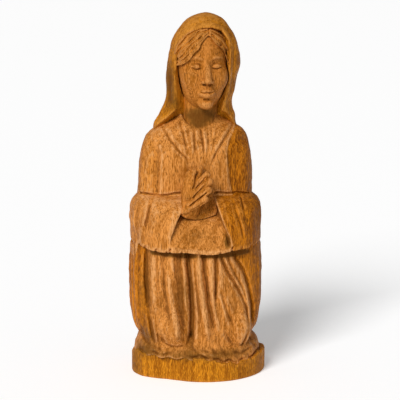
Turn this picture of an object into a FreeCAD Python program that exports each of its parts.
"""Kneeling madonna, carved from one block of wood, divided at the carver's own cuts.

The figure faces -Y and kneels on a thin, hand-sawn plinth. Its own right side is at -X.
The origin is the middle of the plinth's underside. Lengths are millimetres.

Four stacked blocks hold the carving's outline: the kneeling legs under the gown, the
band of wide sleeves, the chest with its shoulders, and the veiled head. Upright knives,
which are prisms seen from the front, divide each block along the cuts between garments.
"""

import FreeCAD, Part
import math
import os

import Sketcher

App = FreeCAD
doc = App.newDocument("KneelingMadonna")

# ---------------------------------------------------------------- driving dimensions
SIZES = {
    # plinth
    "base_thickness": 11.0,
    "base_half_width": 34.0,
    "base_half_depth": 28.0,
    "base_corner": 11.0,
    "base_edge": 0.9,
    # levels of the cuts that cross the whole block
    "hem_top": 16.0,
    "sleeve_bottom": 66.0,
    "sleeve_top": 92.0,
    "shoulder_top": 129.0,
    "figure_top": 180.0,
    # the block's middle, left of the plinth's, and the plane where the cloak's back begins
    "body_middle": -1.7,
    "back_plane": 5.0,
    # gown and cloak round the kneeling legs: half widths, front and back of each level
    "hem_half_width": 30.5,
    "hem_front": 26.2,
    "hem_back": 26.0,
    "pinch_height": 20.0,
    "pinch_half_width": 29.2,
    "pinch_front": 25.4,
    "pinch_back": 25.2,
    "calf_height": 34.0,
    "calf_half_width": 32.0,
    "calf_front": 23.4,
    "calf_back": 25.4,
    "thigh_half_width": 32.2,
    "thigh_front": 21.6,
    "thigh_back": 22.0,
    # band of sleeves
    "cuff_front": 26.6,
    "cuff_back": 21.5,
    "elbow_height": 84.0,
    "elbow_half_width": 32.0,
    "elbow_front": 25.0,
    "elbow_back": 19.5,
    "crook_half_width": 29.0,
    "crook_front": 20.5,
    "crook_back": 18.5,
    # chest and shoulders
    "rib_half_width": 28.3,
    "rib_front": 13.4,
    "rib_back": 18.4,
    "chest_height": 111.0,
    "chest_half_width": 27.2,
    "chest_front": 13.2,
    "chest_back": 16.4,
    "shoulder_height": 120.0,
    "shoulder_half_width": 24.6,
    "shoulder_front": 11.2,
    "shoulder_back": 14.4,
    "collar_half_width": 12.5,
    "collar_front": 6.5,
    "collar_back": 10.5,
    # head, set a little to the figure's left of the body's middle
    "head_middle": 1.8,
    "head_height": 154.5,
    "head_half_width": 13.0,
    "head_half_depth": 15.6,
    "head_half_height": 20.6,
    "head_forward": 4.4,
    "hair_thickness": 0.9,
    "parting_offset": 2.4,
    "neck_radius": 7.6,
    "neck_foot": 116.0,
    # veil
    "crown_height": 154.0,
    "crown_half_width": 17.6,
    "crown_half_depth": 17.2,
    "crown_back": 19.2,
    "jaw_height": 137.0,
    "jaw_half_width": 16.1,
    "jaw_front": 13.0,
    "jaw_back": 18.2,
    "flare_height": 126.0,
    "flare_half_width": 20.2,
    "flare_front": 10.6,
    "flare_back": 17.8,
    "train_height": 108.0,
    "train_half_width": 16.0,
    "train_front": -4.0,
    "train_back": 19.6,
    "face_half_width": 12.2,
    "face_half_height": 20.2,
    "brow_half_width": 11.6,
    "brow_half_height": 13.5,
    "brow_height": 151.5,
    "face_plane": 5.0,
    "throat_half_width": 9.5,
    # waist panel between the cuffs
    "panel_top_half_width": 10.6,
    "panel_bottom_half_width": 16.4,
    "panel_neck_height": 82.0,
    "panel_front": 24.2,
    "panel_middle": -0.9,
    # skirt between the cloak's edges, and the fold between the knees
    "skirt_right_top": -26.4,
    "skirt_right_foot": -26.0,
    "skirt_left_top": 14.6,
    "skirt_left_foot": 26.4,
    "fold_top": -6.6,
    "fold_foot": -4.9,
    # cloak's arms
    "right_arm_edge": -20.6,
    "left_arm_edge": 14.8,
    # veil's two ends on the chest
    "end_top": 127.0,
    "right_end_outer": -20.2,
    "right_end_inner": -10.5,
    "right_end_bend": -6.8,
    "right_end_bend_height": 115.7,
    "right_end_tip": -7.3,
    "right_end_tip_height": 110.4,
    "left_end_outer": 16.8,
    "left_end_inner": 8.2,
    "left_end_bend": 6.6,
    "left_end_bend_height": 117.0,
    "left_end_tip": 6.2,
    "left_end_tip_height": 109.0,
    # folded hands
    "palm_plane": -2.5,
    "wrist_height": 81.5,
    "wrist_half_width": 3.6,
    "wrist_half_depth": 5.4,
    "wrist_forward": 21.6,
    "knuckle_height": 95.0,
    "knuckle_half_width": 3.5,
    "knuckle_half_depth": 5.0,
    "knuckle_forward": 20.6,
    "fingertip_height": 107.0,
    "fingertip_half_width": 1.4,
    "fingertip_half_depth": 2.6,
    "fingertip_forward": 17.4,
}

sheet = doc.addObject("Spreadsheet::Sheet", "Sizes")
for row, (alias, value) in enumerate(SIZES.items(), start=1):
    sheet.set(f"A{row}", alias)
    sheet.set(f"B{row}", str(value))
    sheet.setAlias(f"B{row}", alias)
doc.recompute()

REACH = 60.0  # how far a knife passes beyond the block it cuts


def value_of(formula):
    """The present value of a formula on the sheet's cells, for a sketch's first guess."""
    cells = {f"Sizes.{name}": size for name, size in SIZES.items()}
    for name in sorted(cells, key=len, reverse=True):
        formula = formula.replace(name, f"({cells[name]})")
    return float(sheet.evalExpression(formula))


def origin_plane(body, role):
    """One of a body's own origin planes."""
    return next(f for f in body.Origin.OriginFeatures if f.Role == role)


def bind(sketch, kind, geometry, formula):
    """Adds one constraint to a sketch and ties its value to the sheet."""
    index = sketch.addConstraint(Sketcher.Constraint(kind, *geometry, value_of(formula)))
    sketch.setExpression(f"Constraints[{index}]", formula)


# ---------------------------------------------------------------- shapes
def facets(half_across, half_along, middle, centre, sides):
    """The corners of an even-sided oval whose flats touch the half sizes given."""
    points = []
    for number in range(sides):
        angle = (number + 0.5) * 2 * math.pi / sides
        across = math.cos(angle) / math.cos(math.pi / sides)
        along = math.sin(angle) / math.cos(math.pi / sides)
        points.append((f"({middle}) + {across:.4f} * ({half_across})",
                       f"({centre}) + {along:.4f} * ({half_along})"))
    return points


def lofted_block(name, stations, sides=16):
    """A body lofted through level faceted ovals, listed from the lowest to the highest.

    A station is a height, a half width, how far it reaches forward and back, and a middle.
    """
    body = doc.addObject("PartDesign::Body", name)
    sections = []
    for number, (height, half_width, front, back, middle) in enumerate(stations):
        depth, centre = f"(({front}) + ({back})) / 2", f"(({back}) - ({front})) / 2"
        points = facets(half_width, depth, middle, centre, sides)
        section = outline(body, f"{name}_{number}", "XY_Plane", points)
        section.setExpression("AttachmentOffset.Base.z", height)
        sections.append(section)
    doc.recompute()
    loft = body.newObject("PartDesign::AdditiveLoft", f"{name}_loft")
    loft.Profile = sections[0]
    loft.Sections = sections[1:]
    loft.Ruled = True
    doc.recompute()
    return body


def outline(body, name, role, points):
    """A closed outline of straight edges whose corners are tied to the sheet."""
    sketch = body.newObject("Sketcher::SketchObject", name)
    sketch.AttachmentSupport = [(origin_plane(body, role), "")]
    sketch.MapMode = "FlatFace"
    corners = [App.Vector(value_of(x), value_of(y), 0) for x, y in points]
    count = len(corners)
    for n in range(count):
        edge = Part.LineSegment(corners[n], corners[(n + 1) % count])
        sketch.addGeometry(edge, False)
    for n in range(count):
        sketch.addConstraint(Sketcher.Constraint("Coincident", n, 2, (n + 1) % count, 1))
    for n, (x, y) in enumerate(points):
        bind(sketch, "DistanceX", (-1, 1, n, 1), x)
        bind(sketch, "DistanceY", (-1, 1, n, 1), y)
    return sketch


def knife(name, points, back="Sizes.back_plane"):
    """A prism seen from the front as points, from its back plane forward past the block."""
    body = doc.addObject("PartDesign::Body", name)
    sketch = outline(body, f"{name}_outline", "XZ_Plane", points)
    sketch.setExpression("AttachmentOffset.Base.z", f"-({back})")
    doc.recompute()
    pad = body.newObject("PartDesign::Pad", f"{name}_pad")
    pad.Profile = sketch
    pad.Length = REACH
    doc.recompute()
    return body


def box(name, low, high):
    """An upright box between two corners; a corner's None is past the block."""
    part = doc.addObject("Part::Box", name)
    for axis, size, start, end in zip("xyz", ("Length", "Width", "Height"), low, high):
        start = f"-{2 * REACH}" if start is None else start
        end = f"{4 * REACH}" if end is None else end
        part.setExpression(f"Placement.Base.{axis}", start)
        part.setExpression(size, f"({end}) - ({start})")
    return part


def ellipsoid(name, half_sizes, centre):
    """An ellipsoid with its poles up and down."""
    part = doc.addObject("Part::Ellipsoid", name)
    for size, formula in zip(("Radius2", "Radius3", "Radius1"), half_sizes):
        part.setExpression(size, formula)
    for axis, formula in zip("xyz", centre):
        part.setExpression(f"Placement.Base.{axis}", formula)
    return part


def common(name, base, tool):
    """What two shapes share."""
    part = doc.addObject("Part::Common", name)
    part.Base, part.Tool = base, tool
    return part


def fuse(name, *shapes):
    """Several shapes joined into one."""
    part = doc.addObject("Part::MultiFuse", name)
    part.Shapes = list(shapes)
    part.Refine = True
    return part


def cut(name, base, *tools):
    """A shape less each of the tools."""
    part = base
    for number, tool in enumerate(tools):
        part_name = name if number == len(tools) - 1 else f"{name}_cut_{number}"
        step = doc.addObject("Part::Cut", part_name)
        step.Base, step.Tool = part, tool
        part = step
    return part


# ---------------------------------------------------------------- plinth
def make_base():
    """The sawn plinth: a lopsided oval of short flats with rounded corners."""
    width, depth = "Sizes.base_half_width", "Sizes.base_half_depth"
    # from the figure's left round its front: share of half width, share of half depth
    flats = [
        (1.00, -0.26), (0.74, -0.78), (0.34, -1.00), (0.04, -1.00), (-0.50, -0.77),
        (-0.90, -0.36), (-1.00, 0.00), (-1.00, 0.44), (-0.70, 0.84), (-0.26, 1.00),
        (0.16, 1.00), (0.64, 0.84), (1.00, 0.30),
    ]
    body = doc.addObject("PartDesign::Body", "base")
    points = [(f"{x} * {width}", f"{y} * {depth}") for x, y in flats]
    sketch = outline(body, "base_outline", "XY_Plane", points)
    pad = body.newObject("PartDesign::Pad", "base_pad")
    pad.Profile = sketch
    pad.setExpression("Length", "Sizes.base_thickness")
    doc.recompute()
    upright = [
        f"Edge{n}" for n, edge in enumerate(pad.Shape.Edges, start=1)
        if abs(edge.BoundBox.ZLength - pad.Length.Value) < 1e-6
    ]
    corners = body.newObject("PartDesign::Fillet", "base_corners")
    corners.Base = (pad, upright)
    corners.setExpression("Radius", "Sizes.base_corner")
    doc.recompute()
    top = [
        f"Face{n}" for n, face in enumerate(corners.Shape.Faces, start=1)
        if face.BoundBox.ZLength < 1e-6 and face.BoundBox.ZMin > 1
    ]
    edge = body.newObject("PartDesign::Chamfer", "base_edge")
    edge.Base = (corners, top)
    edge.setExpression("Size", "Sizes.base_edge")
    body.Tip = edge
    doc.recompute()
    return body


# ---------------------------------------------------------------- blocks of the figure
BODY = "Sizes.body_middle"
HEAD = "Sizes.head_middle"


def station(height, name, middle=BODY):
    """One level of a loft, from the three cells that share its name."""
    return (
        height,
        f"Sizes.{name}_half_width",
        f"Sizes.{name}_front",
        f"Sizes.{name}_back",
        middle,
    )


def make_blocks():
    """The legs, sleeve band, chest and veil before they are divided."""
    legs = lofted_block("legs_block", [
        station("Sizes.base_thickness", "hem"),
        station("Sizes.pinch_height", "pinch"),
        station("Sizes.calf_height", "calf"),
        station("Sizes.sleeve_bottom", "thigh"),
    ])
    sleeves = lofted_block("sleeves_block", [
        ("Sizes.sleeve_bottom", "Sizes.thigh_half_width", "Sizes.cuff_front",
         "Sizes.cuff_back", BODY),
        station("Sizes.elbow_height", "elbow"),
        station("Sizes.sleeve_top", "crook"),
    ])
    chest = lofted_block("chest_block", [
        station("Sizes.sleeve_top", "rib"),
        station("Sizes.chest_height", "chest"),
        station("Sizes.shoulder_height", "shoulder"),
        station("Sizes.shoulder_top", "collar", f"({BODY} + {HEAD}) / 2"),
    ])
    dome = [
        (
            f"Sizes.crown_height + {rise} * (Sizes.figure_top - Sizes.crown_height)",
            f"{span} * Sizes.crown_half_width",
            f"Sizes.crown_half_depth * (1 + {span}) - Sizes.crown_back",
            f"Sizes.crown_back - Sizes.crown_half_depth * (1 - {span})",
            HEAD,
        )
        for rise, span in ((0, 1), (0.31, 0.951), (0.58, 0.815), (0.81, 0.586),
                           (0.95, 0.312), (1, 0.08))
    ]
    veil = lofted_block("veil_block", [
        station("Sizes.train_height", "train", BODY),
        station("Sizes.flare_height", "flare", f"0.8 * {BODY} + 0.2 * {HEAD}"),
        station("Sizes.jaw_height", "jaw", f"0.4 * {BODY} + 0.6 * {HEAD}"),
        *dome,
    ])
    return legs, sleeves, chest, veil


def make_knives():
    """The prisms and boxes that divide the blocks, by the names that use them."""
    panel = "Sizes.panel_middle"
    below_hem, bottom = "Sizes.hem_top - 6", "Sizes.sleeve_bottom"
    above_bottom, below_bottom = f"{bottom} + 6", f"{bottom} - 6"
    above_top, over = "Sizes.sleeve_top + 6", "Sizes.shoulder_top + 6"
    fold = [("Sizes.fold_foot", below_hem), ("Sizes.fold_top", above_bottom)]
    return {
        "skirt_right": knife("skirt_right_knife", [
            ("Sizes.skirt_right_foot", below_hem), *fold,
            ("Sizes.skirt_right_top", above_bottom),
        ], back="0"),
        "skirt_left": knife("skirt_left_knife", [
            ("Sizes.skirt_left_foot", below_hem),
            ("Sizes.skirt_left_top", above_bottom), *reversed(fold),
        ], back="0"),
        "panel": knife("panel_knife", [
            (f"{panel} - Sizes.panel_bottom_half_width", below_bottom),
            (f"{panel} + Sizes.panel_bottom_half_width", below_bottom),
            (f"{panel} + Sizes.panel_top_half_width", "Sizes.panel_neck_height"),
            (f"{panel} + Sizes.panel_top_half_width", above_top),
            (f"{panel} - Sizes.panel_top_half_width", above_top),
            (f"{panel} - Sizes.panel_top_half_width", "Sizes.panel_neck_height"),
        ]),
        "right_end": knife("right_end_knife", [
            ("Sizes.right_end_outer", "Sizes.end_top"),
            ("Sizes.right_end_tip", "Sizes.right_end_tip_height"),
            ("Sizes.right_end_bend", "Sizes.right_end_bend_height"),
            ("Sizes.right_end_inner", over),
            ("Sizes.right_end_outer", over),
        ]),
        "left_end": knife("left_end_knife", [
            ("Sizes.left_end_tip", "Sizes.left_end_tip_height"),
            ("Sizes.left_end_outer", "Sizes.end_top - 2"),
            ("Sizes.left_end_outer", over),
            ("Sizes.left_end_inner", over),
            ("Sizes.left_end_bend", "Sizes.left_end_bend_height"),
        ]),
        "throat": knife("throat_knife", [
            (f"{HEAD} - Sizes.throat_half_width", "Sizes.neck_foot - 20"),
            (f"{HEAD} + Sizes.throat_half_width", "Sizes.neck_foot - 20"),
            (f"{HEAD} + Sizes.throat_half_width", "Sizes.jaw_height + 2"),
            (f"{HEAD} - Sizes.throat_half_width", "Sizes.jaw_height + 2"),
        ]),
        "back": box("back_half", (None, "Sizes.back_plane", None), (None, None, None)),
        "hem": box("hem_slab", (None, None, None), (None, None, "Sizes.hem_top")),
        "right_arm": box("right_arm_side", (None, None, None),
                         ("Sizes.right_arm_edge", None, None)),
        "left_arm": box("left_arm_side", ("Sizes.left_arm_edge", None, None),
                        (None, None, None)),
        "right_palm": box("right_palm_side", (None, None, None),
                          ("Sizes.palm_plane", None, None)),
        "left_palm": box("left_palm_side", ("Sizes.palm_plane", None, None),
                         (None, None, None)),
        "panel_front": box("panel_recess", (None, None, None),
                           (None, "-Sizes.panel_front", None)),
        "wrists": box("wrist_recess", (None, None, "Sizes.wrist_height"),
                      (None, "Sizes.wrist_half_depth - Sizes.wrist_forward", None)),
        "nape": box("rear_of_head", (None, "-Sizes.head_forward", None),
                    (None, None, None)),
        "right_hair": box("right_of_parting", (None, None, None),
                          (f"{HEAD} + Sizes.parting_offset", None, None)),
        "left_hair": box("left_of_parting", (f"{HEAD} + Sizes.parting_offset", None, None),
                         (None, None, None)),
    }


def oval_knife(name, half_width, half_height, height):
    """A faceted oval prism through the face, from the face plane forward."""
    points = facets(half_width, half_height, HEAD, height, 16)
    return knife(name, points, back="Sizes.face_plane")


# ---------------------------------------------------------------- hands
def hand_block(side, sign):
    """One praying hand from its wrist to its fingertips, leaning in to the other."""
    levels = ("wrist", "knuckle", "fingertip")
    return lofted_block(f"{side}_hand_block", [
        (
            f"Sizes.{level}_height",
            f"Sizes.{level}_half_width",
            f"Sizes.{level}_forward + Sizes.{level}_half_depth",
            f"Sizes.{level}_half_depth - Sizes.{level}_forward",
            f"Sizes.palm_plane + {sign} * 0.82 * Sizes.{level}_half_width",
        )
        for level in levels
    ], sides=8)


# ---------------------------------------------------------------- carving, divided
def carve():
    """Divides the blocks and returns every finished sub-part by its name."""
    legs, sleeves, chest, veil_block = make_blocks()
    knives = make_knives()
    parts = {"base": make_base()}

    # kneeling legs
    parts["gown_hem"] = common("gown_hem", legs, knives["hem"])
    upper_legs = cut("upper_legs", legs, knives["hem"])
    legs_back = common("legs_back", upper_legs, knives["back"])
    parts["skirt_right"] = common("skirt_right", upper_legs, knives["skirt_right"])
    parts["skirt_left"] = common("skirt_left", upper_legs, knives["skirt_left"])
    wrap = cut("cloak_sides", upper_legs, knives["back"], knives["skirt_right"],
               knives["skirt_left"])
    parts["cloak_right_side"] = common("cloak_right_side", wrap, knives["right_palm"])
    parts["cloak_left_side"] = common("cloak_left_side", wrap, knives["left_palm"])

    # folded hands, which the sleeves, waist panel and bodice give way to
    for side, sign in (("right", -1), ("left", 1)):
        block = hand_block(side, sign)
        parts[f"{side}_hand"] = common(f"{side}_hand", block, knives[f"{side}_palm"])
    hands = (parts["right_hand"], parts["left_hand"])

    # band of sleeves
    sleeves_back = common("sleeves_back", sleeves, knives["back"])
    sleeves_front = cut("sleeves_front", sleeves, knives["back"])
    panel_block = common("panel_block", sleeves_front, knives["panel"])
    parts["waist_panel"] = cut("waist_panel", panel_block, knives["panel_front"],
                               knives["wrists"], *hands)
    cuffs = cut("cuffs", sleeves_front, knives["panel"])
    for side in ("right", "left"):
        half = common(f"{side}_cuff", cuffs, knives[f"{side}_palm"])
        parts[f"{side}_sleeve"] = cut(f"{side}_sleeve", half, *hands)

    # chest and shoulders
    chest_back = common("chest_back", chest, knives["back"])
    chest_front = cut("chest_front", chest, knives["back"])
    for side in ("right", "left"):
        parts[f"veil_end_{side}"] = common(
            f"veil_end_{side}", chest_front, knives[f"{side}_end"])
    bare_chest = cut("bare_chest", chest_front, knives["right_end"], knives["left_end"])
    for side in ("right", "left"):
        parts[f"{side}_upper_arm"] = common(
            f"{side}_upper_arm", bare_chest, knives[f"{side}_arm"])
    parts["bodice"] = cut("bodice", bare_chest, knives["right_arm"], knives["left_arm"],
                          *hands)
    parts["cloak_back"] = fuse("cloak_back", legs_back, sleeves_back, chest_back)

    # head, hair, neck and veil
    centre = (HEAD, "-Sizes.head_forward", "Sizes.head_height")
    head_sizes = [f"Sizes.head_half_{name}" for name in ("width", "depth", "height")]
    parts["head"] = ellipsoid("head", head_sizes, centre)
    hair_block = ellipsoid(
        "hair_block", [f"{size} + Sizes.hair_thickness" for size in head_sizes], centre)
    face_knife = oval_knife("face_knife", "Sizes.face_half_width",
                                "Sizes.face_half_height", "Sizes.head_height")
    brow_knife = oval_knife("brow_knife", "Sizes.brow_half_width",
                                "Sizes.brow_half_height", "Sizes.brow_height")
    low_face = box("low_face", (None, None, None), (None, None, "Sizes.brow_height"))
    fringe = cut("fringe", common("fringe_block", hair_block, face_knife),
                 brow_knife, low_face, knives["nape"], parts["head"])
    for side in ("right", "left"):
        parts[f"hair_{side}"] = common(f"hair_{side}", fringe, knives[f"{side}_hair"])
    neck = doc.addObject("Part::Cylinder", "neck_block")
    neck.setExpression("Radius", "Sizes.neck_radius")
    neck.setExpression("Height", "Sizes.head_height - Sizes.neck_foot")
    neck.setExpression("Placement.Base.x", f"{HEAD} - 0.8")
    neck.setExpression("Placement.Base.z", "Sizes.neck_foot")
    parts["neck"] = cut("neck", neck, parts["head"], chest)
    parts["veil"] = cut("veil", veil_block, face_knife, knives["throat"], hair_block,
                        neck, chest)
    doc.recompute()
    return parts


def check(parts):
    """Stops at any object that failed, and at any sub-part that isn't a valid solid."""
    for item in doc.Objects:
        if {"Invalid", "Error"} & set(item.State):
            raise RuntimeError(f"{item.Name} failed: {item.State}")
    for name, part in parts.items():
        shape = part.Shape
        if shape.isNull() or not shape.isValid() or len(shape.Solids) != 1:
            raise RuntimeError(f"{name} isn't one valid solid")
        size = shape.optimalBoundingBox(False)
        print(f"{name:18s} volume {shape.Volume:9.1f}"
              f"  x {size.XMin:6.1f} {size.XMax:6.1f}  y {size.YMin:6.1f} {size.YMax:6.1f}"
              f"  z {size.ZMin:6.1f} {size.ZMax:6.1f}")


parts = carve()
check(parts)
os.makedirs("parts", exist_ok=True)
for name, part in parts.items():
    part.Label = name
    part.Shape.exportStep(f"parts/{name}.step")
